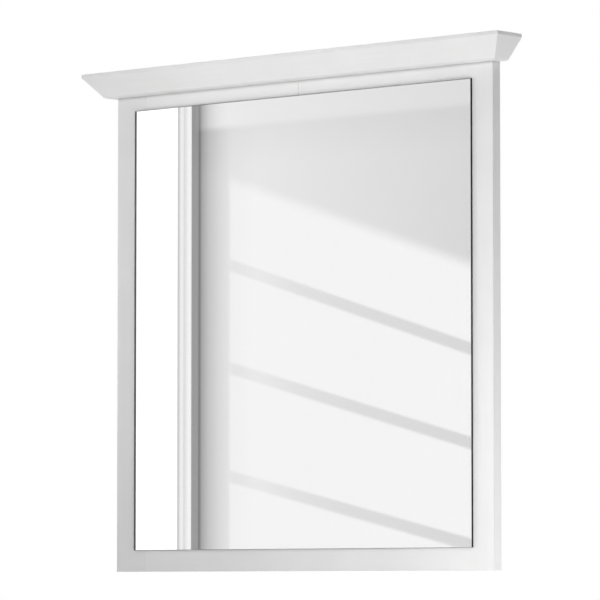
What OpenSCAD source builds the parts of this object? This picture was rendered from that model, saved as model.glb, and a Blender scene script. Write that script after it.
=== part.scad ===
// Wall mirror: a flat painted frame under a mitred crown cornice, with the pane bonded in the frame's face.
// X runs along the wall, Y into the wall and Z up. The wall is the plane Y = 0 and the mirror faces -Y.
// The origin lies on the wall, midway between the entry holes of the two keyhole hangers.

/* [Mirror pane] */
// Width of the mirror pane
pane_w = 646; // [400:1:1000]
// Height of the mirror pane
pane_h = 660; // [400:1:1400]
// Thickness of the mirror pane
pane_t = 4; // [3:0.5:6]
// Width of the seamed edge ground round the pane's front
pane_seam = 0.8; // [0.3:0.1:1.5]

/* [Frame] */
// Thickness of the stiles and rails
frame_t = 16; // [15:1:28]
// Face of a stile that shows beside the pane
side_show = 38; // [26:1:90]
// Face of the bottom rail that shows below the pane
bottom_show = 32; // [24:1:90]
// Face of the top rail that shows between the pane and the cornice
top_show = 22; // [6:1:80]
// Width of frame that lies behind the pane's edge
pane_lap = 22; // [20:1:40]
// Depth of the recess in the frame's face that locates the pane
recess_d = 1.5; // [0.5:0.1:3]
// Gap between the pane's edge and the wall of its recess
recess_gap = 0.5; // [0.2:0.1:1.5]
// Radius of the frame's eased front edges
frame_ease = 1.2; // [0.4:0.1:3]
// Width of the eased joint line in the middle of the top rail
joint_line = 1.2; // [0.4:0.1:3]

/* [Cornice] */
// Height of the cornice
cornice_h = 36; // [26:1:70]
// How far the cornice's top edge stands out from the frame
cornice_out = 39; // [30:1:80]
// How far the cornice's lower edge stands out from the frame
cornice_foot = 14; // [8:1:28]
// Height of the upright fillet along the cornice's top edge
fillet_h = 5; // [2:0.5:9]
// Radius of the eased top edge
fillet_ease = 0.8; // [0.2:0.1:1.5]
// Radius of the rounded lower edge
foot_round = 7; // [1:0.5:9]

/* [Mirror tape] */
// Thickness of the foam tape
tape_t = 0.8; // [0.5:0.1:2]
// Width of the foam tape
tape_w = 15; // [8:1:18]

/* [Back panel] */
// Thickness of the back panel
panel_t = 3; // [2:0.5:5]
// Width of the rebate's ledge round the opening
ledge_w = 10; // [8:0.5:12]
// Gap between the back panel's edge and the rebate's wall
panel_gap = 0.5; // [0.2:0.1:1.5]
// How far the back panel lies below the frame's back
panel_sink = 2.2; // [2:0.1:3]
// How far its screws' heads stay below the frame's back
panel_head_clear = 0.5; // [0.2:0.1:0.8]

/* [Dowels and biscuits] */
// Diameter of the frame's dowels
dowel_d = 8; // [5:1:8]
// Length of the frame's dowels
dowel_len = 32; // [20:1:36]
// From the edge of a rail to the middle of its nearest dowel
dowel_edge = 10; // [8:1:14]
// Diameter of the dowels that carry the returns
return_dowel_d = 6; // [4:1:8]
// Length of the dowels that carry the returns
return_dowel_len = 24; // [16:1:28]
// Length of a mitre biscuit
biscuit_len = 30; // [18:1:32]
// Width of a mitre biscuit
biscuit_w = 13; // [9:1:15]
// Thickness of a mitre biscuit
biscuit_t = 3; // [2:0.5:4]
// From the top of the cornice down to the middle of a mitre biscuit
biscuit_drop = 10; // [8:1:12]
// Clearance round a dowel or biscuit, and past its ends
wood_gap = 0.1; // [0.05:0.05:0.2]

/* [Screws] */
// Shank diameter of the cornice screws
cornice_screw_d = 4; // [3:0.5:5]
// How deep the cornice screws reach into the cornice
cornice_bite = 18; // [8:1:20]
// Cornice screws along the top rail
cornice_screw_count = 4; // [4:2:8]
// Shank diameter of the back panel's screws
panel_screw_d = 3; // [2:0.5:3.5]
// Length of the back panel's screws under the head
panel_screw_len = 10; // [6:1:11]
// Back panel screws along each stile
side_screws = 3; // [2:1:6]
// Back panel screws along each rail
rail_screws = 4; // [2:2:8]
// Shank diameter of the hanger screws
hanger_screw_d = 3.5; // [2.5:0.5:4]
// Length of the hanger screws with their heads
hanger_screw_len = 12; // [8:1:13]
// Clearance round a screw and below its tip
screw_gap = 0.1; // [0.05:0.05:0.2]

/* [Keyhole hangers] */
// From the top of the mirror down to the hangers' entry holes
hanger_drop = 100; // [60:1:300]
// Length of a hanger plate
hanger_len = 60; // [56:1:90]
// Width of a hanger plate
hanger_w = 16; // [14:1:20]
// Thickness of a hanger plate
hanger_t = 2; // [1.5:0.25:2.5]
// From the end of a hanger plate to the middle of its nearest screw
hanger_screw_edge = 7; // [6:1:9]
// Diameter of the entry hole for the wall screw's head
entry_d = 9.5; // [8:0.5:11]
// Width of the slot for the wall screw's shank
slot_w = 4.8; // [4.2:0.1:6]
// Rise from the entry hole to the end of the slot
slot_rise = 12; // [9:1:14]
// Depth of the room behind a hanger plate for the wall screw's head
head_room = 6; // [4:0.5:6]
// Width of the room behind a hanger plate for the wall screw's head
head_room_w = 12; // [11.5:0.5:13]
// How far a hanger plate lies below the frame's back
hanger_sink = 0.2; // [0.05:0.05:0.4]

/* [Hidden] */
$fn = 48;

// Overall sizes of the frame
frame_w = pane_w + 2 * side_show;
frame_h = bottom_show + pane_h + top_show + cornice_h;
cornice_z = frame_h - cornice_h;
hanger_z = frame_h - hanger_drop;
// The opening behind the pane
open_w = pane_w - 2 * pane_lap;
open_z = bottom_show + pane_lap;
open_h = pane_h - 2 * pane_lap;
open_top = open_z + open_h;
// Depths measured forward from the wall
pane_back = frame_t - recess_d + tape_t;
pane_front = pane_back + pane_t;
panel_front = panel_sink + panel_t;
hanger_in = hanger_sink + hanger_t;
// The tape lies in the middle of the lap behind the pane
tape_in = (pane_lap - tape_w) / 2;
tape_x = open_w / 2 + tape_in;
// Places of the dowels, biscuits and hangers
dowel_y = -frame_t / 2;
bottom_dowel_z = [dowel_edge, open_z - ledge_w - dowel_edge];
top_dowel_z = [open_top + ledge_w + dowel_edge, frame_h - dowel_edge];
cornice_mid_z = frame_h - cornice_h / 2;
biscuit_z = frame_h - biscuit_drop;
hanger_x = (open_w / 2 + ledge_w + frame_w / 2) / 2;
hanger_mid_z = slot_rise / 2;
hanger_screw_reach = hanger_len / 2 - hanger_screw_edge;
// Forms common to the screws, as shares of the shank's diameter
point_share = 0.6;
pan_head_share = 0.95;
pan_crown_share = 0.6;
cross_reach_share = 0.55;
cross_half_share = 0.11;
cross_depth_share = 0.4;
// Colours as the mirror shows them
paint = [0.92, 0.92, 0.92];
bare_wood = [0.83, 0.70, 0.50];
fibreboard = [0.50, 0.38, 0.26];
silver = [0.80, 0.84, 0.86];
foam = [0.90, 0.90, 0.88];
zinc = [0.72, 0.73, 0.75];
// Overshoot of a cutter past the face it opens
past = 1;

// Moves a piece from the frame's foot to the hangers' height
module hung() {
    translate([0, 0, -hanger_z]) children();
}

// Mirrors a piece to both sides of the middle
module both_sides() {
    children();
    mirror([1, 0, 0]) children();
}

// A box from one corner to the other
module block(low, high) {
    translate(low) cube(high - low);
}

// Where the arc in corner i of an outline c starts, turns and ends; each corner is [x, y, radius]
function unit(v) = v / norm(v);
function corner(c, i) = [c[i % len(c)][0], c[i % len(c)][1]];
function to_before(c, i) = unit(corner(c, i + len(c) - 1) - corner(c, i));
function to_after(c, i) = unit(corner(c, i + 1) - corner(c, i));
function half_angle(c, i) = acos(to_before(c, i) * to_after(c, i)) / 2;
function arc_run(c, i) = c[i][2] / tan(half_angle(c, i));
function arc_start(c, i) = corner(c, i) + to_before(c, i) * arc_run(c, i);
function arc_end(c, i) = corner(c, i) + to_after(c, i) * arc_run(c, i);
function arc_centre(c, i) =
    corner(c, i) + unit(to_before(c, i) + to_after(c, i)) * c[i][2] / sin(half_angle(c, i));
function corner_points(c, i) =
    c[i][2] == 0 ? [corner(c, i)] : [arc_start(c, i), arc_centre(c, i), arc_end(c, i)];

// An outline whose corners are convex, each rounded by its own radius
module eased_outline(c) {
    polygon([for (i = [0 : len(c) - 1]) each corner_points(c, i)]);
    for (i = [0 : len(c) - 1])
        if (c[i][2] > 0)
            translate(arc_centre(c, i)) circle(r = c[i][2]);
}

// Stands an outline drawn in X and Y along the Z axis
module upright(h) {
    linear_extrude(height = h) children();
}

// Lays an outline drawn in Y and Z along the X axis, centred on the middle
module across(w) {
    translate([-w / 2, 0, 0]) rotate([90, 0, 90]) linear_extrude(height = w) children();
}

// Lays an outline drawn in X and Z back to front, from one depth below the wall plane to another
module sunk(from, to) {
    translate([0, -from, 0]) rotate([90, 0, 0]) linear_extrude(height = to - from) children();
}

// The frame's whole body before it is parted: its front edges are eased at the sides and along the foot
module frame_body() {
    intersection() {
        upright(frame_h) eased_outline([
            [-frame_w / 2, 0, 0], [-frame_w / 2, -frame_t, frame_ease],
            [frame_w / 2, -frame_t, frame_ease], [frame_w / 2, 0, 0]
        ]);
        across(frame_w) eased_outline([
            [0, 0, 0], [0, frame_h, 0], [-frame_t, frame_h, 0], [-frame_t, 0, frame_ease]
        ]);
    }
}

// The shallow recess in the frame's face that takes the pane
module pane_recess() {
    x = pane_w / 2 + recess_gap;
    block([-x, -frame_t - past, bottom_show - recess_gap],
        [x, -frame_t + recess_d, bottom_show + pane_h + recess_gap]);
}

// The rebate in the frame's back that takes the back panel
module panel_rebate() {
    x = open_w / 2 + ledge_w;
    block([-x, -panel_front, open_z - ledge_w], [x, past, open_top + ledge_w]);
}

// One piece of the frame, parted from the body between two corners in X and Z
module frame_piece(x0, x1, z0, z1) {
    difference() {
        intersection() {
            frame_body();
            block([x0, -frame_t, z0], [x1, 0, z1]);
        }
        pane_recess();
        panel_rebate();
    }
}

// A dowel along X with chamfered ends, or its bore when a gap is given
module dowel(d, length, gap = 0) {
    chamfer = gap > 0 ? 0 : d / 8;
    half = length / 2 + gap;
    r = d / 2 + gap;
    rotate([0, 90, 0]) rotate_extrude() polygon([
        [0, -half], [r - chamfer, -half], [r, -half + chamfer],
        [r, half - chamfer], [r - chamfer, half], [0, half]
    ]);
}

// The frame's dowels, or their bores: two in each end of a rail
module end_dowels(heights, gap = 0) {
    both_sides() for (z = heights)
        translate([open_w / 2, dowel_y, z]) dowel(dowel_d, dowel_len, gap);
}

// The dowels across the joint in the middle of the top rail, or their bores
module middle_dowels(gap = 0) {
    for (z = top_dowel_z) translate([0, dowel_y, z]) dowel(dowel_d, dowel_len, gap);
}

// The dowels between the stiles and the returns, or their bores
module side_dowels(gap = 0) {
    both_sides() translate([frame_w / 2, dowel_y, cornice_mid_z])
        dowel(return_dowel_d, return_dowel_len, gap);
}

// A countersunk screw pointing to -Y with its head's top in the plane Y = 0, or its hole when a gap is given
module countersunk_screw(d, length, gap = 0) {
    r = d / 2 + gap;
    head_r = d + gap;
    head_h = head_r - r;
    rotate([90, 0, 0]) rotate_extrude() polygon(gap > 0
        ? [[0, -past], [head_r, -past], [head_r, 0], [r, head_h], [r, length + gap], [0, length + gap]]
        : [[0, 0], [head_r, 0], [r, head_h], [r, length - d * point_share], [0, length]]);
}

// The cross in the head of a screw
module driver_cross(d) {
    reach = d * cross_reach_share;
    half = d * cross_half_share;
    for (turn = [45, 135]) rotate([0, turn, 0])
        block([-reach, -d * cross_depth_share, -half], [reach, past, half]);
}

// The middle of piece i when a count of them is spread evenly over a length about zero
function spread(i, count, length) = length * ((i + 0.5) / count - 0.5);

// Puts a piece at each of the cornice screws
module at_cornice_screws() {
    for (i = [0 : cornice_screw_count - 1])
        translate([spread(i, cornice_screw_count, open_w), 0, cornice_mid_z]) children();
}

// The holes of the cornice screws, through the top rail and into the cornice
module cornice_screw_holes() {
    at_cornice_screws() countersunk_screw(cornice_screw_d, frame_t + cornice_bite, screw_gap);
}

// Puts a piece at each screw of the back panel, in the middle of the ledge
module at_panel_screws() {
    middle_z = open_z + open_h / 2;
    both_sides() for (i = [0 : side_screws - 1])
        translate([open_w / 2 + ledge_w / 2, -panel_sink, middle_z + spread(i, side_screws, open_h)])
            children();
    for (i = [0 : rail_screws - 1], z = [open_z - ledge_w / 2, open_top + ledge_w / 2])
        translate([spread(i, rail_screws, open_w), -panel_sink, z]) children();
}

// A pan-head screw pointing to -Y with the underside of its head in the plane Y = 0
module pan_screw(d, length) {
    head_r = d * pan_head_share;
    head_h = panel_sink - panel_head_clear;
    difference() {
        rotate([90, 0, 0]) rotate_extrude() polygon([
            [0, -head_h], [d * pan_crown_share, -head_h], [head_r, -head_h / 2], [head_r, 0],
            [d / 2, 0], [d / 2, length - d * point_share], [0, length]
        ]);
        translate([0, head_h, 0]) driver_cross(d);
    }
}

// The holes of the back panel's screws
module panel_screw_holes() {
    at_panel_screws() rotate([90, 0, 0]) translate([0, 0, -past])
        cylinder(d = panel_screw_d + 2 * screw_gap, h = panel_screw_len + screw_gap + past);
}

// Puts a piece at each hanger's entry hole
module at_hangers() {
    both_sides() translate([hanger_x, 0, hanger_z]) children();
}

// Puts a piece at each hanger's fixing screws
module at_hanger_screws() {
    at_hangers() for (side = [-1, 1])
        translate([0, -hanger_sink, hanger_mid_z + side * hanger_screw_reach]) children();
}

// The outline of a hanger plate with round ends, drawn in X and Z from its entry hole
module hanger_outline(gap = 0) {
    r = hanger_w / 2 + gap;
    end = hanger_len / 2 - hanger_w / 2;
    translate([0, hanger_mid_z]) {
        for (side = [-1, 1]) translate([0, side * end]) circle(r = r);
        square([2 * r, 2 * end], center = true);
    }
}

// An upright slot with round ends from the entry hole's middle up to the slot's end
module rising_slot(w) {
    for (z = [0, slot_rise]) translate([0, z]) circle(d = w);
    translate([-w / 2, 0]) square([w, slot_rise]);
}

// The pocket in a stile: the plate's seat, the room for the wall screw's head and the fixing holes
module hanger_pocket() {
    at_hangers() {
        sunk(-past, hanger_in) hanger_outline(wood_gap);
        sunk(0, hanger_in + head_room) rising_slot(head_room_w);
    }
    at_hanger_screws() countersunk_screw(hanger_screw_d, hanger_screw_len, screw_gap);
}

// One keyhole plate at the right stile
module hanger_plate() {
    difference() {
        translate([hanger_x, 0, hanger_z]) difference() {
            sunk(hanger_sink, hanger_in) hanger_outline();
            sunk(0, hanger_in + past) circle(d = entry_d);
            sunk(0, hanger_in + past) rising_slot(slot_w);
        }
        at_hanger_screws() countersunk_screw(hanger_screw_d, hanger_screw_len, screw_gap);
    }
}

// The cornice's section in Y and Z: flat underside, rounded foot, straight splay and upright fillet
module cornice_outline() {
    y = -frame_t;
    translate([y, cornice_z]) eased_outline([
        [0, 0, 0], [0, cornice_h, 0], [-cornice_out, cornice_h, fillet_ease],
        [-cornice_out, cornice_h - fillet_h, 0], [-cornice_foot, 0, foot_round]
    ]);
}

// Everything outside the right-hand mitre plane, which runs outward from the frame's front corner
module beyond_mitre() {
    reach = 4 * (cornice_out + frame_t);
    translate([frame_w / 2, -frame_t, 0]) rotate([0, 0, -45])
        block([-reach, 0, cornice_z - past], [reach, reach, frame_h + past]);
}

// A biscuit across each mitre, or its slot when a gap is given: a lens between two round edges
module biscuits(gap = 0) {
    half = biscuit_len / 2 + gap;
    bulge = biscuit_w / 2 + gap;
    r = (half * half + bulge * bulge) / (2 * bulge);
    splay_share = (biscuit_z - cornice_z) / (cornice_h - fillet_h);
    out = (cornice_foot + (cornice_out - cornice_foot) * splay_share) / 2;
    both_sides() translate([frame_w / 2 + out, -frame_t - out, biscuit_z - biscuit_t / 2 - gap])
        rotate([0, 0, -45]) linear_extrude(height = biscuit_t + 2 * gap) intersection() {
            translate([0, r - bulge]) circle(r = r, $fn = 96);
            translate([0, bulge - r]) circle(r = r, $fn = 96);
        }
}

// One return of the cornice at the right side
module right_return() {
    difference() {
        intersection() {
            translate([frame_w / 2, 0, 0]) rotate([90, 0, 0]) mirror([1, 0, 0])
                linear_extrude(height = frame_t + cornice_out) translate([frame_t, 0]) cornice_outline();
            beyond_mitre();
        }
        side_dowels(wood_gap);
        biscuits(wood_gap);
    }
}

// A strip of tape on the recess's floor, between two corners in X and Z
module tape(x0, x1, z0, z1) {
    block([x0, -pane_back, z0], [x1, -pane_back + tape_t, z1]);
}

// The right stile: full height, outside the opening
module stile() {
    hung() difference() {
        frame_piece(open_w / 2, frame_w / 2, 0, frame_h);
        end_dowels(concat(bottom_dowel_z, top_dowel_z), wood_gap);
        side_dowels(wood_gap);
        panel_screw_holes();
        hanger_pocket();
    }
}

module left_stile() {
    color(paint) mirror([1, 0, 0]) stile();
}

module right_stile() {
    color(paint) stile();
}

module bottom_rail() {
    color(paint) hung() difference() {
        frame_piece(-open_w / 2, open_w / 2, 0, open_z);
        end_dowels(bottom_dowel_z, wood_gap);
        panel_screw_holes();
    }
}

// The right half of the top rail, with its share of the eased joint line
module half_rail() {
    ease = joint_line / sqrt(2);
    hung() difference() {
        frame_piece(0, open_w / 2, open_top, frame_h);
        end_dowels(top_dowel_z, wood_gap);
        middle_dowels(wood_gap);
        panel_screw_holes();
        cornice_screw_holes();
        translate([0, -frame_t, open_top - past]) rotate([0, 0, 45])
            block([-ease / 2, -ease / 2, 0], [ease / 2, ease / 2, cornice_z - open_top + past]);
    }
}

module top_rail_left() {
    color(paint) mirror([1, 0, 0]) half_rail();
}

module top_rail_right() {
    color(paint) half_rail();
}

module bottom_corner_dowels() {
    color(bare_wood) hung() end_dowels(bottom_dowel_z);
}

module top_corner_dowels() {
    color(bare_wood) hung() end_dowels(top_dowel_z);
}

module rail_joint_dowels() {
    color(bare_wood) hung() middle_dowels();
}

module return_dowels() {
    color(bare_wood) hung() side_dowels();
}

module mitre_biscuits() {
    color(bare_wood) hung() biscuits();
}

module cornice_front() {
    color(paint) hung() difference() {
        across(frame_w + 2 * cornice_out) cornice_outline();
        both_sides() beyond_mitre();
        biscuits(wood_gap);
        cornice_screw_holes();
    }
}

module cornice_left_return() {
    color(paint) hung() mirror([1, 0, 0]) right_return();
}

module cornice_right_return() {
    color(paint) hung() right_return();
}

module cornice_screws() {
    color(zinc) hung() at_cornice_screws() difference() {
        countersunk_screw(cornice_screw_d, frame_t + cornice_bite);
        driver_cross(cornice_screw_d);
    }
}

// The pane: a flat sheet whose front edges are seamed all round
module mirror_pane() {
    w = pane_w / 2;
    color(silver) hung() translate([0, 0, bottom_show]) intersection() {
        upright(pane_h) polygon([
            [-w, -pane_back], [-w, -pane_front + pane_seam], [-w + pane_seam, -pane_front],
            [w - pane_seam, -pane_front], [w, -pane_front + pane_seam], [w, -pane_back]
        ]);
        across(pane_w) polygon([
            [-pane_back, 0], [-pane_back, pane_h], [-pane_front + pane_seam, pane_h],
            [-pane_front, pane_h - pane_seam], [-pane_front, pane_seam], [-pane_front + pane_seam, 0]
        ]);
    }
}

module left_tape() {
    color(foam) hung() mirror([1, 0, 0])
        tape(tape_x, tape_x + tape_w, bottom_show + tape_in, bottom_show + pane_h - tape_in);
}

module right_tape() {
    color(foam) hung()
        tape(tape_x, tape_x + tape_w, bottom_show + tape_in, bottom_show + pane_h - tape_in);
}

module top_tape() {
    color(foam) hung()
        tape(-open_w / 2, open_w / 2, open_top + tape_in, open_top + tape_in + tape_w);
}

module bottom_tape() {
    color(foam) hung()
        tape(-open_w / 2, open_w / 2, bottom_show + tape_in, bottom_show + tape_in + tape_w);
}

module back_panel() {
    x = open_w / 2 + ledge_w - panel_gap;
    color(fibreboard) hung() difference() {
        block([-x, -panel_front, open_z - ledge_w + panel_gap],
            [x, -panel_sink, open_top + ledge_w - panel_gap]);
        panel_screw_holes();
    }
}

module back_panel_screws() {
    color(zinc) hung() at_panel_screws() pan_screw(panel_screw_d, panel_screw_len);
}

module left_hanger() {
    color(zinc) hung() mirror([1, 0, 0]) hanger_plate();
}

module right_hanger() {
    color(zinc) hung() hanger_plate();
}

module hanger_screws() {
    color(zinc) hung() at_hanger_screws() difference() {
        countersunk_screw(hanger_screw_d, hanger_screw_len);
        driver_cross(hanger_screw_d);
    }
}

left_stile();
right_stile();
bottom_rail();
top_rail_left();
top_rail_right();
bottom_corner_dowels();
top_corner_dowels();
rail_joint_dowels();
cornice_front();
cornice_left_return();
cornice_right_return();
return_dowels();
mitre_biscuits();
cornice_screws();
mirror_pane();
left_tape();
right_tape();
top_tape();
bottom_tape();
back_panel();
back_panel_screws();
left_hanger();
right_hanger();
hanger_screws();
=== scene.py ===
import math

import bmesh
import bpy
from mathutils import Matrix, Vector


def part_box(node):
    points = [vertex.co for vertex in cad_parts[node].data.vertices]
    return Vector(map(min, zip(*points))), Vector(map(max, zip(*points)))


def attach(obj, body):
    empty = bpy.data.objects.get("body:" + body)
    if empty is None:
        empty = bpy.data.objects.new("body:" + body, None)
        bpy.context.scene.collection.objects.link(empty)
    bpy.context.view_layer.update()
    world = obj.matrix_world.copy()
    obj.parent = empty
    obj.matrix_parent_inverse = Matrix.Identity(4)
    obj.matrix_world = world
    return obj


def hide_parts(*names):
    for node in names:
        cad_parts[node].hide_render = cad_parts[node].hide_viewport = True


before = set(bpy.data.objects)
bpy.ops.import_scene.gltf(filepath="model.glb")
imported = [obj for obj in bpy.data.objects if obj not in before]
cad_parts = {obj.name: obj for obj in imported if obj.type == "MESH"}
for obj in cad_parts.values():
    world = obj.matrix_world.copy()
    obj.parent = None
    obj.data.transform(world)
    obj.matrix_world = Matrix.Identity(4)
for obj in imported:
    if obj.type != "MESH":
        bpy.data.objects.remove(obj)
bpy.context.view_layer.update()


# Stiles and rails
# Five lengths of 16 mm solid board, dowelled and glued into a flat frame, with the top rail in two lengths.
# The frame is sanded flush and sprayed with satin white paint, under which the grain still shows a little.
# The paint takes a painted shade in a soft band under the cornice, is darker along the stiles' outer front
# edges and is split over the top rail's joint.

PAINT_THIN = (0.830, 0.830, 0.828)
PAINT_FULL = (0.860, 0.860, 0.858)
PAINT_CLOUDS = 14
PAINT_STIPPLE = 1500
PAINT_RELIEF = 0.00003
GRAIN_FINE = 420
GRAIN_LONG = 9
RAW_WOOD = (0.40, 0.27, 0.15)
BACK_SKIN = 0.0004
# Painted shade: a soft darker band on the boards just under the cornice, where the cornice shades them.
UNDER_CORNICE_SHADE_BAND = 0.0045
UNDER_CORNICE_SHADE_OVERLAP = 0.0005
UNDER_CORNICE_SHADE_STEPS = ((0.0, 1.0), (0.4, 0.9), (0.75, 0.72), (0.92, 0.72), (1.0, 1.0))
SPLIT_CORE = 0.0003
SPLIT_RIM = 0.0009
SPLIT_SHADE = 0.88
# A darker line along the stiles' eased outer front edges.
EDGE_DARK_CORE = 0.0004
EDGE_DARK_RIM = 0.0014
EDGE_DARK_SHADE = 0.80
ALONG_X = (1, 0, 0)
ALONG_Y = (0, 1, 0)
ALONG_Z = (0, 0, 1)
NOISE_LOW = 0.3
NOISE_HIGH = 0.7

cornice_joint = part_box("cornice_front")[0].z
rail_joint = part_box("top_rail_left")[1].x
frame_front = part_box("left_stile")[0].y
left_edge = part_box("left_stile")[0].x
right_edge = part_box("right_stile")[1].x


def start_finish(name):
    """A new material, its node tree and its surface shader."""
    finish = bpy.data.materials.new(name)
    finish.use_nodes = True
    return finish, finish.node_tree, finish.node_tree.nodes["Principled BSDF"]


def add_node(tree, kind, inputs, **settings):
    """A new node with its settings, each input set to a value or joined to another node's output."""
    node = tree.nodes.new("ShaderNode" + kind)
    for name, value in settings.items():
        setattr(node, name, value)
    for name, value in inputs.items():
        if isinstance(value, bpy.types.NodeSocket):
            tree.links.new(value, node.inputs[name])
        else:
            node.inputs[name].default_value = value
    return node


def sum_of(tree, operation, *values):
    """The result of a sum on one, two or three values."""
    return add_node(tree, "Math", dict(enumerate(values)), operation=operation).outputs[0]


def surface_place(tree, stretch=(1, 1, 1), shift=(0, 0, 0)):
    """Places on the piece in metres, stretched and shifted."""
    place = add_node(tree, "TexCoord", {})
    mapped = add_node(
        tree, "Mapping", {"Vector": place.outputs["Object"], "Scale": stretch, "Location": shift}
    )
    return mapped.outputs["Vector"]


def place_parts(tree):
    """The X, Y and Z of each place on the piece, in metres."""
    return add_node(tree, "SeparateXYZ", {"Vector": surface_place(tree)}).outputs


def noise(tree, place, scale, detail):
    """Cloudy noise from 0 to 1."""
    return add_node(tree, "TexNoise", {"Vector": place, "Scale": scale, "Detail": detail}).outputs["Fac"]


def grey(value):
    """A neutral colour."""
    return (value, value, value, 1)


def blend_colours(tree, share, stops):
    """A colour for each share from 0 to 1, from a list of (share, colour)."""
    node = add_node(tree, "ValToRGB", {"Fac": share})
    points = node.color_ramp.elements
    while len(points) < len(stops):
        points.new(0.5)
    for point, (at, colour) in zip(points, stops):
        point.position = at
        point.color = colour
    return node.outputs["Color"]


def blend_greys(tree, share, stops):
    """A grey for each share from 0 to 1, from a list of (share, value)."""
    return blend_colours(tree, share, [(at, grey(value)) for at, value in stops])


def ramp(tree, value, start, end, first=0.0, last=1.0, soft=False):
    """A value that runs from first to last as the given one runs from start to end, and holds beyond."""
    return add_node(
        tree,
        "MapRange",
        {"Value": value, "From Min": start, "From Max": end, "To Min": first, "To Max": last},
        interpolation_type="SMOOTHSTEP" if soft else "LINEAR",
    ).outputs["Result"]


def mean(tree, first, second, weight):
    """The weighted mean of two values, where weight is the second one's."""
    low = sum_of(tree, "MULTIPLY", first, 1 - weight)
    return sum_of(tree, "MULTIPLY_ADD", second, weight, low)


def spread(tree, value, low, high):
    """Noise stretched to run from low to high."""
    return ramp(tree, value, NOISE_LOW, NOISE_HIGH, low, high)


def bump(tree, height, depth):
    """Relief of that depth in metres."""
    return add_node(tree, "Bump", {"Height": height, "Strength": 1.0, "Distance": depth}).outputs["Normal"]


def grain_stretch(along, fine, long):
    """Scales that draw noise out into lines along one axis."""
    return tuple(long if share else fine for share in along)


def shaded(tree, colour, share):
    """The colour times a share."""
    return add_node(tree, "VectorMath", {0: colour, 1: share}, operation="MULTIPLY").outputs["Vector"]


def distance_from(tree, value, middle):
    """How far the value lies from the middle, to either side."""
    return sum_of(tree, "ABSOLUTE", sum_of(tree, "SUBTRACT", value, middle))


def painted_shade_under_cornice(tree, colour, height):
    """The colour, darkened as a painted shade in a soft band under that height, where the cornice above
    shades the board.
    """
    place = place_parts(tree)
    into = ramp(tree, place["Z"], height - UNDER_CORNICE_SHADE_BAND, height + UNDER_CORNICE_SHADE_OVERLAP)
    shade_band = blend_greys(tree, into, UNDER_CORNICE_SHADE_STEPS)
    behind = sum_of(tree, "GREATER_THAN", place["Y"], -BACK_SKIN)
    share = add_node(tree, "VectorMath", {0: shade_band, 1: behind}, operation="MAXIMUM")
    return shaded(tree, colour, share.outputs["Vector"])


def split_paint(tree, colour, joint):
    """The colour, darker in a hair line across the board, where the paint has split over a joint."""
    off = distance_from(tree, place_parts(tree)["X"], joint)
    return shaded(tree, colour, ramp(tree, off, SPLIT_CORE, SPLIT_RIM, SPLIT_SHADE, soft=True))


def darker_eased_edge(tree, colour, edge):
    """The colour, darker along an eased upright edge."""
    place = place_parts(tree)
    across = distance_from(tree, place["X"], edge)
    inward = sum_of(tree, "SUBTRACT", place["Y"], frame_front)
    off = sum_of(tree, "MAXIMUM", across, inward)
    return shaded(tree, colour, ramp(tree, off, EDGE_DARK_CORE, EDGE_DARK_RIM, EDGE_DARK_SHADE, soft=True))


def bare_pocket(tree, colour, hanger):
    """The colour, with raw wood in the pocket behind a hanger, which is cut after the spraying."""
    low, high = hanger
    place = place_parts(tree)
    sides = (("X", low.x, high.x), ("Y", frame_front + BACK_SKIN, -BACK_SKIN), ("Z", low.z, high.z))
    share = 1.0
    for axis, first, last in sides:
        within = sum_of(tree, "COMPARE", place[axis], (first + last) / 2, (last - first) / 2)
        share = sum_of(tree, "MULTIPLY", within, share)
    wood = shaded(tree, RAW_WOOD, share)
    paint = shaded(tree, colour, sum_of(tree, "SUBTRACT", 1.0, share))
    return add_node(tree, "VectorMath", {0: wood, 1: paint}, operation="ADD").outputs["Vector"]


def painted_wood(name, along, shift, painted_light_or_shade, joint_height=None, split=None, edge=None, hanger=None):
    """Sprayed satin paint on solid board whose grain runs along one axis. The whiteness factor scales the
    paint's colour
    to paint light or shade into the board: below one it is painted shade, above one painted light.
    The colour takes a painted shade under a joint's height, is split over a butt joint and is darker along
    an outer edge, and the wood is raw in the pocket of a hanger."""
    finish, tree, shader = start_finish(name)
    thin, full = ((*(painted_light_or_shade * part for part in colour), 1) for colour in (PAINT_THIN, PAINT_FULL))
    stretched = surface_place(tree, grain_stretch(along, GRAIN_FINE, GRAIN_LONG), shift)
    clouds = noise(tree, surface_place(tree), scale=PAINT_CLOUDS, detail=3)
    grain = noise(tree, stretched, scale=1, detail=3)
    stipple = noise(tree, surface_place(tree), scale=PAINT_STIPPLE, detail=1)
    coat = mean(tree, clouds, grain, weight=0.3)
    paint = blend_colours(tree, coat, [(0.36, thin), (0.62, full)])
    # painted shade under the cornice's joint
    if joint_height is not None:
        paint = painted_shade_under_cornice(tree, paint, joint_height)
    if split is not None:
        paint = split_paint(tree, paint, split)
    if edge is not None:
        paint = darker_eased_edge(tree, paint, edge)
    if hanger is not None:
        paint = bare_pocket(tree, paint, hanger)
    relief = mean(tree, grain, stipple, weight=0.35)
    tree.links.new(paint, shader.inputs["Base Color"])
    tree.links.new(spread(tree, coat, low=0.50, high=0.40), shader.inputs["Roughness"])
    tree.links.new(bump(tree, relief, PAINT_RELIEF), shader.inputs["Normal"])
    return finish


def dress(node, finish):
    """Gives a CAD piece its finish."""
    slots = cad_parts[node].data.materials
    slots.clear()
    slots.append(finish)


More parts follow.
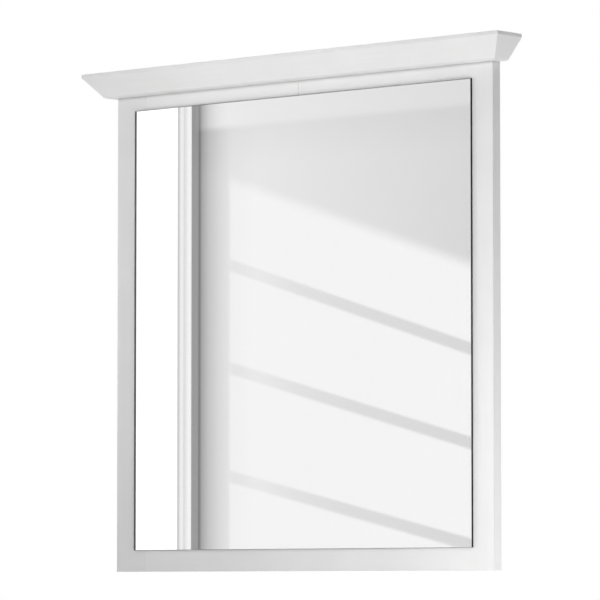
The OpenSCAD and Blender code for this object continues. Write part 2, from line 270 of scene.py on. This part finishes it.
BOARDS = (
    # board, its grain, where its grain starts, painted light or shade on its paint, split in the paint,
    # darker edge, hanger let into it
    # The left stile's paint is 4 % darker as a painted shade; the other boards keep the paint as mixed.
    ("left_stile", ALONG_Z, (3.1, 0, 0), 0.96, None, left_edge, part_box("left_hanger")),
    ("right_stile", ALONG_Z, (5.7, 0, 1.3), 1.0, None, right_edge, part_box("right_hanger")),
    ("bottom_rail", ALONG_X, (0.7, 0, 2.9), 1.0, None, None, None),
    ("top_rail_left", ALONG_X, (2.3, 0, 7.1), 1.0, rail_joint, None, None),
    ("top_rail_right", ALONG_X, (6.1, 0, 4.3), 1.0, rail_joint, None, None),
)
for board, along, shift, painted_light_or_shade, split, edge, hanger in BOARDS:
    name = "white_paint_on_" + board
    dress(board, painted_wood(name, along, shift, painted_light_or_shade, cornice_joint, split, edge, hanger))


# Dowels
# Turned beech pins glued into the boards' ends, across the top rail's joint and between stiles and returns.
# They are bare wood with chamfered ends, and nothing of them shows once the frame is together.

BEECH_DARK = (0.52, 0.33, 0.18, 1)
BEECH_PALE = (0.70, 0.50, 0.31, 1)


def lay_coat(tree, shader, coat, stops, rough, depth):
    """Gives the surface a colour, a roughness from one value to another and a relief, by the same noise."""
    tree.links.new(blend_colours(tree, coat, stops), shader.inputs["Base Color"])
    tree.links.new(spread(tree, coat, *rough), shader.inputs["Roughness"])
    tree.links.new(bump(tree, coat, depth), shader.inputs["Normal"])


def bare_beech(name, along):
    """Planed beech with its short dark flecks."""
    finish, tree, shader = start_finish(name)
    grain = noise(tree, surface_place(tree, grain_stretch(along, fine=700, long=25)), scale=1, detail=4)
    flecks = noise(tree, surface_place(tree, grain_stretch(along, fine=2400, long=500)), scale=1, detail=1)
    wood = mean(tree, grain, flecks, weight=0.35)
    stops = [(0.35, BEECH_DARK), (0.6, BEECH_PALE)]
    lay_coat(tree, shader, wood, stops, rough=(0.72, 0.58), depth=0.00004)
    return finish


dowel_beech = bare_beech("beech_of_the_dowels", ALONG_X)
for pins in ("bottom_corner_dowels", "top_corner_dowels", "rail_joint_dowels", "return_dowels"):
    dress(pins, dowel_beech)


# Cornice
# A splayed moulding in one long front and two short returns, mitred at the corners and painted with
# the frame. The front is screwed on from behind, and the returns sit on dowels in the stiles' sides.

# The cornice's paint is 4 % lighter as a painted light.
CORNICE_PAINTED_LIGHT = 1.04
MOULDINGS = (
    # moulding, its grain, where its grain starts
    ("cornice_front", ALONG_X, (1.9, 0, 3.3)),
    ("cornice_left_return", ALONG_Y, (0, 4.1, 0.9)),
    ("cornice_right_return", ALONG_Y, (2.7, 1.1, 0)),
)
for moulding, along, shift in MOULDINGS:
    dress(moulding, painted_wood("white_paint_on_" + moulding, along, shift, CORNICE_PAINTED_LIGHT))


# Mitre biscuits
# Lens-shaped slips of pressed beech, one glued across each mitre.
# Like the dowels they are hidden in the finished cornice.

dress("mitre_biscuits", bare_beech("beech_of_the_biscuits", ALONG_X))


# Cornice screws
# Countersunk steel screws with a cross drive, from the back of the top rail into the cornice.
# They are plated with bright zinc, which clouds a little in store.

ZINC_DULL = (0.50, 0.51, 0.52, 1)
ZINC_BRIGHT = (0.68, 0.69, 0.71, 1)
SCREW_CLOUDS = 330


def zinc_plate(name, along, cloud_size):
    """Zinc-plated steel, faintly drawn along one axis."""
    finish, tree, shader = start_finish(name)
    clouds = noise(tree, surface_place(tree), scale=cloud_size, detail=3)
    lines = noise(tree, surface_place(tree, grain_stretch(along, fine=5200, long=260)), scale=1, detail=2)
    plate = mean(tree, clouds, lines, weight=0.4)
    stops = [(0.35, ZINC_DULL), (0.62, ZINC_BRIGHT)]
    lay_coat(tree, shader, plate, stops, rough=(0.42, 0.24), depth=0.00001)
    shader.inputs["Metallic"].default_value = 1.0
    return finish


screw_zinc = zinc_plate("zinc_of_the_screws", ALONG_Y, SCREW_CLOUDS)
dress("cornice_screws", screw_zinc)


# Mirror tape
# Four strips of white closed-cell foam tape that bond the pane into the shallow recess of the frame.
# They lie a few millimetres in from the pane's edge, out of sight.

FOAM_CELL = (0.66, 0.66, 0.64, 1)
FOAM_SKIN = (0.84, 0.84, 0.82, 1)


def foam_finish(name):
    """White foam with fine open cells at its cut edges."""
    finish, tree, shader = start_finish(name)
    cells = noise(tree, surface_place(tree), scale=2600, detail=2)
    stops = [(0.4, FOAM_CELL), (0.58, FOAM_SKIN)]
    lay_coat(tree, shader, cells, stops, rough=(0.95, 0.8), depth=0.0001)
    return finish


foam = foam_finish("foam_of_the_tape")
for strip in ("left_tape", "right_tape", "top_tape", "bottom_tape"):
    dress(strip, foam)


# Mirror pane
# A sheet of 4 mm float glass, its front edges seamed by hand and sealed against damp with dark paint.
# Silver on its back makes the mirror, and grey backing paint keeps the silver from the tape and the air.
# The clear glass and the silver are two pieces here, so that its edge and its image both look right.

SEAM = 0.0003
SILVER_THICKNESS = 0.00008
BOND_GAP = 0.00004
SILVER_INSET = 0.0003
GLASS_TINT = (0.988, 0.988, 0.988, 1)
GLASS_IOR = 1.52
SEAM_DARK = (0.30, 0.31, 0.31, 1)
SEAM_PALE = (0.44, 0.45, 0.45, 1)
SEALER_DARK = (0.008, 0.008, 0.009, 1)
SEALER_PALE = (0.022, 0.022, 0.023, 1)
SEALER_GLOSS = 0.25
SILVER_DULL = (0.947, 0.947, 0.947, 1)
SILVER_BRIGHT = (0.956, 0.956, 0.956, 1)
BACKING_DARK = (0.20, 0.21, 0.22, 1)
BACKING_PALE = (0.27, 0.28, 0.29, 1)


def new_piece(name, body, finishes):
    """A piece made of those faces, with its finishes in their order."""
    mesh = bpy.data.meshes.new(name)
    body.to_mesh(mesh)
    body.free()
    for finish in finishes:
        mesh.materials.append(finish)
    piece = bpy.data.objects.new(name, mesh)
    bpy.context.scene.collection.objects.link(piece)
    return piece


def seamed_sheet(name, low, high, seam, finishes):
    """A closed upright sheet with seamed front edges: its faces take the finishes for the front,
    the seams, the edges and the back, in this order."""
    rings = []
    body = bmesh.new()
    for y, inset in ((low.y, seam), (low.y + seam, 0), (high.y, 0)):
        corners = (
            (low.x + inset, y, low.z + inset),
            (high.x - inset, y, low.z + inset),
            (high.x - inset, y, high.z - inset),
            (low.x + inset, y, high.z - inset),
        )
        rings.append([body.verts.new(corner) for corner in corners])
    body.faces.new(rings[0]).material_index = 0
    for front, back, finish_index in ((rings[0], rings[1], 1), (rings[1], rings[2], 2)):
        for i in range(len(front)):
            j = (i + 1) % len(front)
            body.faces.new((front[j], front[i], back[i], back[j])).material_index = finish_index
    body.faces.new(list(reversed(rings[2]))).material_index = 3
    bmesh.ops.recalc_face_normals(body, faces=body.faces)
    return new_piece(name, body, finishes)


def clear_glass(name):
    """Polished float glass, with the faint handling haze that a cloth leaves."""
    finish, tree, shader = start_finish(name)
    shader.inputs["Base Color"].default_value = GLASS_TINT
    shader.inputs["Transmission Weight"].default_value = 1.0
    shader.inputs["IOR"].default_value = GLASS_IOR
    haze = noise(tree, surface_place(tree, stretch=(1, 1, 0.4)), scale=11, detail=4)
    tree.links.new(spread(tree, haze, low=0.0, high=0.004), shader.inputs["Roughness"])
    return finish


def ground_glass(name):
    """Glass left matt by the seaming stone."""
    finish, tree, shader = start_finish(name)
    grit = noise(tree, surface_place(tree), scale=4200, detail=2)
    stops = [(0.35, SEAM_DARK), (0.65, SEAM_PALE)]
    lay_coat(tree, shader, grit, stops, rough=(0.34, 0.22), depth=0.00001)
    return finish


def edge_sealer(name):
    """Dark sealing paint brushed along the ground edge."""
    finish, tree, shader = start_finish(name)
    brushed = noise(tree, surface_place(tree, stretch=(60, 900, 60)), scale=1, detail=3)
    stops = [(0.35, SEALER_DARK), (0.65, SEALER_PALE)]
    lay_coat(tree, shader, brushed, stops, rough=(0.75, 0.60), depth=0.00002)
    shader.inputs["Specular IOR Level"].default_value = SEALER_GLOSS
    return finish


def silvering(name):
    """The silver's reflecting side, with a very faint unevenness of the coat."""
    finish, tree, shader = start_finish(name)
    coat = noise(tree, surface_place(tree), scale=5, detail=2)
    colour = blend_colours(tree, coat, [(0.3, SILVER_DULL), (0.7, SILVER_BRIGHT)])
    tree.links.new(colour, shader.inputs["Base Color"])
    shader.inputs["Metallic"].default_value = 1.0
    shader.inputs["Roughness"].default_value = 0.0
    return finish


def backing_paint(name):
    """Grey paint poured over the back of the silver."""
    finish, tree, shader = start_finish(name)
    coat = noise(tree, surface_place(tree), scale=160, detail=3)
    stops = [(0.35, BACKING_DARK), (0.65, BACKING_PALE)]
    lay_coat(tree, shader, coat, stops, rough=(0.6, 0.48), depth=0.00003)
    return finish


pane_low, pane_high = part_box("mirror_pane")
sealer = edge_sealer("edge_sealing_paint")
backing = backing_paint("mirror_backing_paint")
clear = clear_glass("float_glass")

glass_back = pane_high.y - SILVER_THICKNESS - BOND_GAP
pane_glass = seamed_sheet(
    "pane_glass",
    pane_low,
    Vector((pane_high.x, glass_back, pane_high.z)),
    SEAM,
    (clear, ground_glass("seamed_glass"), sealer, clear),
)
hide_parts("mirror_pane")
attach(pane_glass, "root")

pane_silver = seamed_sheet(
    "pane_silver",
    Vector((pane_low.x + SILVER_INSET, pane_high.y - SILVER_THICKNESS, pane_low.z + SILVER_INSET)),
    Vector((pane_high.x - SILVER_INSET, pane_high.y, pane_high.z - SILVER_INSET)),
    SILVER_THICKNESS / 2,
    (silvering("silver_coat"), backing, backing, backing),
)
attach(pane_silver, "root")


# Back panel
# Thin brown hardboard, smooth side out, laid in the rebate of the frame's back.
# It keeps knocks and damp from the mirror's backing.

HARDBOARD_DARK = (0.120, 0.068, 0.036, 1)
HARDBOARD_PALE = (0.250, 0.158, 0.090, 1)


def hardboard(name):
    """Pressed wood fibre with short pale and dark fibres."""
    finish, tree, shader = start_finish(name)
    clouds = noise(tree, surface_place(tree), scale=7, detail=4)
    fibres = noise(tree, surface_place(tree, stretch=(260, 600, 700)), scale=1, detail=4)
    turned = surface_place(tree, stretch=(760, 600, 240), shift=(1.7, 0, 0.6))
    crossing = noise(tree, turned, scale=1, detail=4)
    felt = mean(tree, mean(tree, fibres, crossing, weight=0.5), clouds, weight=0.12)
    stops = [(0.38, HARDBOARD_DARK), (0.6, HARDBOARD_PALE)]
    lay_coat(tree, shader, felt, stops, rough=(0.62, 0.45), depth=0.00006)
    return finish


dress("back_panel", hardboard("brown_hardboard"))


# Back panel screws
# Short pan-head screws round the panel, through its edge into the frame.
# They have the same zinc plate as the other screws.

dress("back_panel_screws", screw_zinc)


# Keyhole hangers and their screws
# Pressed steel plates let in flush with the stiles' backs, each with an entry hole and a slot that rises
# from it. Two countersunk screws hold each plate, and the mirror drops onto two fixed screws.

HANGER_CLOUDS = 120

hanger_zinc = zinc_plate("zinc_of_the_hangers", ALONG_Z, HANGER_CLOUDS)
for plate in ("left_hanger", "right_hanger"):
    dress(plate, hanger_zinc)
dress("hanger_screws", screw_zinc)


# Studio floor
# A plain pale floor about 1.75 m below the mirror. Near the mirror it takes shadows,
# and further out it fades to white.

FLOOR_Z = -2.4
FLOOR_RADIUS = 14.0
FLOOR_RINGS = 10
FLOOR_SIDES = 64
FLOOR_DARK = grey(0.86)
FLOOR_PALE = grey(0.90)
FADE_START = 2.4
FADE_END = 5.2
FLOOR_GLOW = 0.35
WHITE = (1, 1, 1, 1)


def seen_directly(tree):
    """One where a camera, a reflection or clear glass looks at the surface, and nought for its light."""
    path = add_node(tree, "LightPath", {}).outputs
    looked_at = sum_of(tree, "MAXIMUM", path["Is Camera Ray"], path["Is Glossy Ray"])
    return sum_of(tree, "MAXIMUM", looked_at, path["Is Transmission Ray"])


def round_floor(name, finish):
    """A round floor in rings."""
    body = bmesh.new()
    rings = [
        [
            body.verts.new((r * math.cos(turn), r * math.sin(turn), FLOOR_Z))
            for turn in (2 * math.pi * i / FLOOR_SIDES for i in range(FLOOR_SIDES))
        ]
        for r in (FLOOR_RADIUS * (k + 1) / FLOOR_RINGS for k in range(FLOOR_RINGS))
    ]
    body.faces.new(rings[0])
    for inner, outer in zip(rings, rings[1:]):
        for i in range(FLOOR_SIDES):
            j = (i + 1) % FLOOR_SIDES
            body.faces.new((inner[i], outer[i], outer[j], inner[j]))
    return new_piece(name, body, [finish])


def floor_finish(name):
    """Pale matt paint that gives way to plain white away from the mirror, and is clear from below."""
    finish, tree, shader = start_finish(name)
    place = surface_place(tree)
    clouds = noise(tree, place, scale=3, detail=3)
    colour = blend_colours(tree, clouds, [(0.3, FLOOR_DARK), (0.7, FLOOR_PALE)])
    tree.links.new(colour, shader.inputs["Base Color"])
    shader.inputs["Roughness"].default_value = 0.8
    far = add_node(tree, "VectorMath", {0: place}, operation="LENGTH").outputs["Value"]
    fade = ramp(tree, far, FADE_START, FADE_END, FLOOR_GLOW, soft=True)
    share = sum_of(tree, "MULTIPLY", fade, seen_directly(tree))
    white = add_node(tree, "Emission", {"Color": WHITE, "Strength": 1.0})
    mixed = add_node(tree, "MixShader", {0: share, 1: shader.outputs[0], 2: white.outputs[0]})
    below = add_node(tree, "NewGeometry", {}).outputs["Backfacing"]
    clear = add_node(tree, "BsdfTransparent", {})
    both = add_node(tree, "MixShader", {0: below, 1: mixed.outputs[0], 2: clear.outputs[0]})
    tree.links.new(both.outputs[0], tree.nodes["Material Output"].inputs["Surface"])
    return finish


studio_floor = round_floor("studio_floor", floor_finish("pale_floor_paint"))


# Studio flats
# What the mirror faces: a lit panel at one side with a white rim, and a large pale flat beside it.
# Rim and flat glow, with their light and shade painted in: painted shadow lines on the rim, and on the flat
# a painted shade by its near edge, a slanting shade, three slanting bars of shade and a paler border along
# its top.
# They show only in reflections, and neither light nor hide the mirror.

FLAT_DISTANCE = 3.0
CARD_Z = (FLOOR_Z, 2.6)
PANEL_X = (-4.6, -2.985)
PANEL_GLOW = 1.3
RIM_X = (-2.985, -2.939)
RIM_STEPS = ((0.0, 0.60), (0.12, 0.66), (0.22, 0.92), (0.40, 0.92), (0.48, 0.76), (0.58, 0.84), (0.8, 0.98))
FLAT_X = (-2.939, 6.0)
NEAR_RUN = 0.3
NEAR_EDGE_SHADE_STEPS = (
    (0.0, 0.36), (0.069, 0.36), (0.086, 0.20), (0.115, 0.42), (0.189, 0.60),
    (0.292, 0.74), (0.40, 0.84), (0.43, 0.95), (0.67, 0.98),
)
CORNER_AT = (0.40, 0.43)
CORNER_FILL = 1.1
SLANT_SLOPE = 0.325
SLANT_AT = -0.604
SLANT_SOFT = 0.022
SLANT_X = (-2.71, -2.09)
SLANT_SHADE = (0.885, 0.76)
BARS = ((0.309, -0.765), (0.266, -0.892), (0.229, -1.048))
BAR_X = (-2.82, -2.08)
BAR_CORE = 0.009
BAR_RIM = 0.020
BAR_STEPS = ((0.0, 1.0), (0.02, 0.88), (0.135, 0.91), (0.30, 0.84), (0.5, 0.80), (1.0, 0.76))
BORDER_Z = 0.437
BORDER_EDGE = (-0.006, 0.009)
BORDER_X = (-2.85, -2.09)
BORDER_SHADE = (0.905, 0.79)
BORDER_RUN = 0.13
UNDER_BORDER = 0.10
UNDER_BORDER_SHADE = 0.94


def flat_card(name, x0, x1, z0, z1, finish):
    """An upright card in front of the mirror that only reflections see."""
    body = bmesh.new()
    y = pane_low.y - FLAT_DISTANCE
    corners = ((x0, y, z0), (x0, y, z1), (x1, y, z1), (x1, y, z0))
    body.faces.new([body.verts.new(corner) for corner in corners])
    card = new_piece(name, body, [finish])
    card.visible_camera = False
    card.visible_diffuse = False
    card.visible_shadow = False


def let_glow(tree, colour, strength):
    """Makes the surface glow in that colour in place of its shader."""
    glow = add_node(tree, "Emission", {"Color": colour, "Strength": strength})
    tree.links.new(glow.outputs[0], tree.nodes["Material Output"].inputs["Surface"])


def panel_finish(name):
    """A cloth that is lit evenly from behind."""
    finish, tree, _ = start_finish(name)
    let_glow(tree, WHITE, PANEL_GLOW)
    return finish


def rim_finish(name):
    """A glowing white rim with painted shadow lines along its outer edge and its middle."""
    finish, tree, _ = start_finish(name)
    across = ramp(tree, place_parts(tree)["X"], *RIM_X)
    let_glow(tree, blend_greys(tree, across, RIM_STEPS), 1.0)
    return finish


def slope_line(tree, place, slope):
    """The height at which a slanting line through each place crosses the middle."""
    return sum_of(tree, "MULTIPLY_ADD", place["X"], slope, place["Z"])


def slanting_shade(tree, place, near):
    """The share of light above and below a slanting line, a little lighter before the near corner."""
    fill = ramp(tree, near, *CORNER_AT, CORNER_FILL, 1.0)
    above = sum_of(tree, "MULTIPLY", ramp(tree, place["X"], *SLANT_X, *SLANT_SHADE), fill)
    height = slope_line(tree, place, SLANT_SLOPE)
    return ramp(tree, height, SLANT_AT - SLANT_SOFT, SLANT_AT + SLANT_SOFT, 1.0, above, soft=True)


def shade_of_bars(tree, shade, place):
    """The shade, darker in the slanting bars."""
    depth = blend_greys(tree, ramp(tree, place["X"], *BAR_X), BAR_STEPS)
    for slope, height in BARS:
        off = distance_from(tree, slope_line(tree, place, slope), height)
        shade = shaded(tree, shade, ramp(tree, off, BAR_CORE, BAR_RIM, depth, soft=True))
    return shade


def flat_finish(name):
    """A glowing flat with painted shade by the near edge, above a slanting line and in the bars, and a
    paler painted border.
    """
    finish, tree, _ = start_finish(name)
    place = place_parts(tree)
    near = ramp(tree, place["X"], FLAT_X[0], FLAT_X[0] + NEAR_RUN)
    shade = shaded(tree, blend_greys(tree, near, NEAR_EDGE_SHADE_STEPS), slanting_shade(tree, place, near))
    shade = shade_of_bars(tree, shade, place)
    under = ramp(tree, place["Z"], BORDER_Z - UNDER_BORDER, BORDER_Z, 1.0, UNDER_BORDER_SHADE)
    shade = shaded(tree, shade, under)
    border = ramp(tree, place["X"], *BORDER_X, *BORDER_SHADE)
    over = ramp(tree, place["Z"], BORDER_Z + BORDER_EDGE[0], BORDER_Z + BORDER_EDGE[1])
    inward = ramp(tree, place["X"], FLAT_X[0], FLAT_X[0] + BORDER_RUN, soft=True)
    share = sum_of(tree, "MULTIPLY", over, inward)
    shade = add_node(tree, "Mix", {"Factor": share, "A": shade, "B": border}).outputs["Result"]
    let_glow(tree, shade, 1.0)
    return finish


flat_card("lit_panel", *PANEL_X, *CARD_Z, panel_finish("lit_panel_cloth"))
flat_card("panel_rim", *RIM_X, *CARD_Z, rim_finish("panel_rim_glow"))
flat_card("pale_flat", *FLAT_X, *CARD_Z, flat_finish("pale_flat_glow"))


# Lamps and surroundings
# Soft boxes round the mirror, two of them with grids: eight for its face and right side,
# two for its back and left, and one above it. They light it from out of sight in a pale surround.

OPEN_BOX = 180
LAMPS = (
    # name, place, what it points at, size, angle that its grid leaves open, watts
    ("left_box", (-4.4, -2.6, -0.3), (0, 0, -0.28), 2.0, OPEN_BOX, 17),
    ("low_left_box", (-2.4, -2.1, -2.1), (0, 0, -0.28), 1.4, OPEN_BOX, 15),
    ("left_grid_box", (-2.4, -0.8, -0.3), (0.42, 0, -0.3), 0.6, 14, 0.48),
    ("high_box", (0.0, -1.1, 0.38), (0, 0, 0.08), 0.35, OPEN_BOX, 3),
    ("high_right_box", (0.6, -1.1, 0.40), (0.3, 0, 0.08), 0.35, OPEN_BOX, 0.95),
    ("cornice_grid_box", (-0.2, -0.8, -0.25), (-0.1, 0, 0.09), 0.4, 60, 0.12),
    ("low_right_box", (0.8, -0.7, -0.8), (0.36, 0, -0.6), 0.5, OPEN_BOX, 4.5),
    ("right_side_box", (1.3, -0.2, -0.9), (0.36, 0, -0.55), 0.6, OPEN_BOX, 4.85),
    ("rear_box", (0.0, 2.0, 1.3), (0, 0, -0.28), 1.4, OPEN_BOX, 34),
    ("left_rear_box", (-2.4, 0.6, -0.1), (-0.36, 0, -0.28), 1.0, OPEN_BOX, 14),
    ("overhead_box", (0.0, 0.8, 2.2), (0, 0, 0.1), 1.2, OPEN_BOX, 16),
)
SURROUND_LIGHT = 0.2


def soft_box(name, place, aim, size, opening, watts):
    """A square soft box that nothing sees but what it lights."""
    light = bpy.data.lights.new(name, "AREA")
    light.shape = "SQUARE"
    light.size = size
    light.spread = math.radians(opening)
    light.energy = watts
    lamp = bpy.data.objects.new(name, light)
    lamp.location = place
    lamp.rotation_euler = (Vector(aim) - Vector(place)).to_track_quat("-Z", "Y").to_euler()
    lamp.visible_camera = False
    lamp.visible_glossy = False
    lamp.visible_transmission = False
    bpy.context.scene.collection.objects.link(lamp)


for lamp in LAMPS:
    soft_box(*lamp)

surround = bpy.data.worlds.new("pale_surround")
surround.use_nodes = True
bpy.context.scene.world = surround
surround_tree = surround.node_tree
lit_by = surround_tree.nodes["Background"]
lit_by.inputs["Color"].default_value = WHITE
lit_by.inputs["Strength"].default_value = SURROUND_LIGHT
shown_as = add_node(surround_tree, "Background", {"Color": WHITE, "Strength": 1.0})
both = add_node(
    surround_tree,
    "MixShader",
    {0: seen_directly(surround_tree), 1: lit_by.outputs[0], 2: shown_as.outputs[0]},
)
surround_tree.links.new(both.outputs[0], surround_tree.nodes["World Output"].inputs["Surface"])


# Camera
# A long lens some 6 m away, to the right of the mirror and a little below its middle.
# It looks slightly up, and the lens isn't shifted.

CAMERA_PLACE = (4.102, -4.758, -0.680)
CAMERA_TURN = math.radians(40.84)
CAMERA_TILT = math.radians(3.86)
SENSOR_MM = 36
LENS_MM = 259.5
SIGHT_END = 100

lens = bpy.data.cameras.new("camera")
lens.sensor_width = SENSOR_MM
lens.lens = LENS_MM
lens.clip_end = SIGHT_END
camera = bpy.data.objects.new("camera", lens)
camera.location = CAMERA_PLACE
camera.rotation_euler = (math.pi / 2 + CAMERA_TILT, 0, CAMERA_TURN)
bpy.context.scene.collection.objects.link(camera)
bpy.context.scene.camera = camera

bpy.context.scene.view_settings.view_transform = "Standard"
